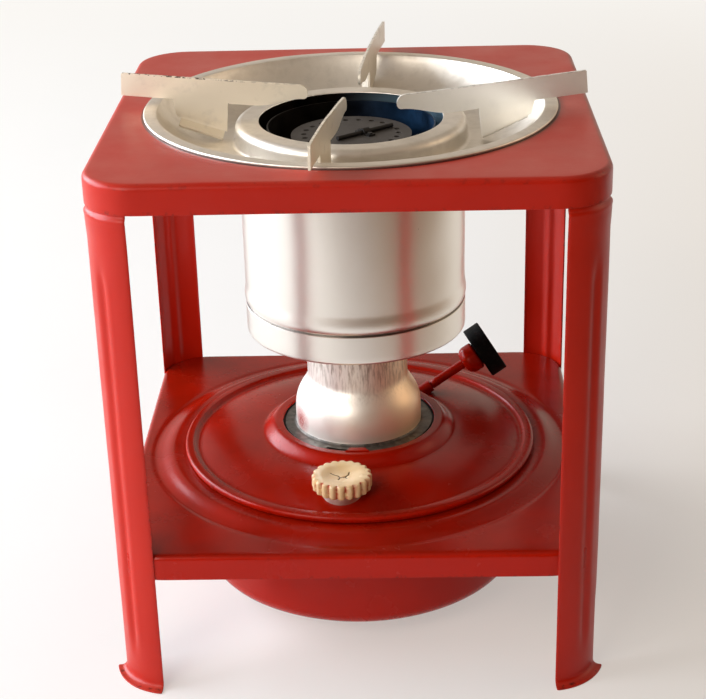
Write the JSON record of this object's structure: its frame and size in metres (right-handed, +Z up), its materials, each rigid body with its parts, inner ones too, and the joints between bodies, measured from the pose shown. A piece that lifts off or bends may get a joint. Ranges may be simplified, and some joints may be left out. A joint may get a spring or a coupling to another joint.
{
  "type": "kerosene wick stove",
  "caption": "Table-top kerosene wick stove: square red pressed-steel stand, round tank hung in its shelf, aluminium burner drum, drip pan and sheet pot supports.",
  "frame": {"origin": "centre of the stove's footprint, on the surface its feet stand on", "axes": "+Z up along the burner's axis, -Y towards the filler cap at the front, +X towards the wick knob"},
  "size_m": [0.248, 0.248, 0.2839],
  "materials": {
    "red_enamel": "semi-gloss baked enamel on pressed steel",
    "galvanised_steel": "dull zinc",
    "brass_tube": "drawn, dull",
    "brass_gear": "cut, satin",
    "satin_aluminium": "spun and satin polished",
    "support_aluminium": "cut sheet, satin, chipped edges",
    "heat_blued_steel": "blued by heat, sooty",
    "sooted_steel": "sooty",
    "cotton_wick": "woven cotton, charred top",
    "packing_cord": "graphited cord",
    "black_plastic": "moulded phenolic, matt",
    "cork_seal": "cork and rubber",
    "ivory_plastic": "moulded, aged"
  },
  "bodies": {
    "frame": {"top_plate": "red_enamel", "leg_front_left": "red_enamel", "leg_front_right": "red_enamel", "leg_back_left": "red_enamel", "leg_back_right": "red_enamel", "shelf_plate": "red_enamel", "tank_bowl": "red_enamel", "tank_top": "red_enamel", "burner_seat": "galvanised_steel", "central_air_tube": "brass_tube", "wick_tube": "brass_tube", "filler_neck": "galvanised_steel", "spindle_gland": "red_enamel", "gland_packing": "packing_cord", "gland_nut": "red_enamel"},
    "pan": {"drip_pan": "satin_aluminium", "pot_support_right": "support_aluminium", "pot_support_back": "support_aluminium", "pot_support_left": "support_aluminium", "pot_support_front": "support_aluminium"},
    "burner": {"burner_bell": "satin_aluminium", "gallery_plate": "galvanised_steel", "drum_shell": "satin_aluminium", "outer_flame_tube": "heat_blued_steel", "inner_flame_tube": "sooted_steel", "flame_tube_pins": "sooted_steel"},
    "spreader": {"flame_spreader": "sooted_steel", "spreader_strap": "sooted_steel", "spreader_rod": "sooted_steel", "spreader_rivets": "sooted_steel"},
    "wick": {"wick": "cotton_wick", "wick_carrier": "galvanised_steel"},
    "spindle": {"spindle": "red_enamel", "pinion": "brass_gear", "knob_hub": "red_enamel", "knob": "black_plastic"},
    "cap_seal": {"cap_seal": "cork_seal"},
    "cap": {"filler_cap": "ivory_plastic"}
  },
  "joints": [
    {"name": "pan_lift", "type": "slide", "parent": "frame", "child": "pan", "axis": [0, 0, 1], "range_m": [0, 0.03]},
    {"name": "burner_turn", "type": "hinge", "parent": "frame", "child": "burner", "pos_m": [0, 0, 0.0915], "axis": [0, 0, 1], "range_deg": [0, 16]},
    {"name": "spreader_lift", "type": "slide", "parent": "burner", "child": "spreader", "axis": [0, 0, 1], "range_m": [0, 0.015]},
    {"name": "spindle_turn", "type": "hinge", "parent": "frame", "child": "spindle", "pos_m": [-0.00667, 0.03033, 0.0624], "axis": [-0.8372, -0.1841, -0.515], "range_deg": [0, 109.2]},
    {"name": "wick_raise", "type": "slide", "parent": "frame", "child": "wick", "axis": [0, 0, 1], "range_m": [0, 0.012]},
    {"name": "cap_rise", "type": "slide", "parent": "frame", "child": "cap_seal", "axis": [0, 0, 1], "range_m": [0, 0.004]},
    {"name": "cap_turn", "type": "hinge", "parent": "cap_seal", "child": "cap", "pos_m": [-0.00728, -0.07163, 0.093], "axis": [0, 0, 1], "range_deg": [0, 720]}
  ],
  "couplings": [
    {"joint": "spindle_turn", "follows": "wick_raise", "rad_per_m": 158.73},
    {"joint": "cap_rise", "follows": "cap_turn", "m_per_rad": 0.0003183}
  ]
}
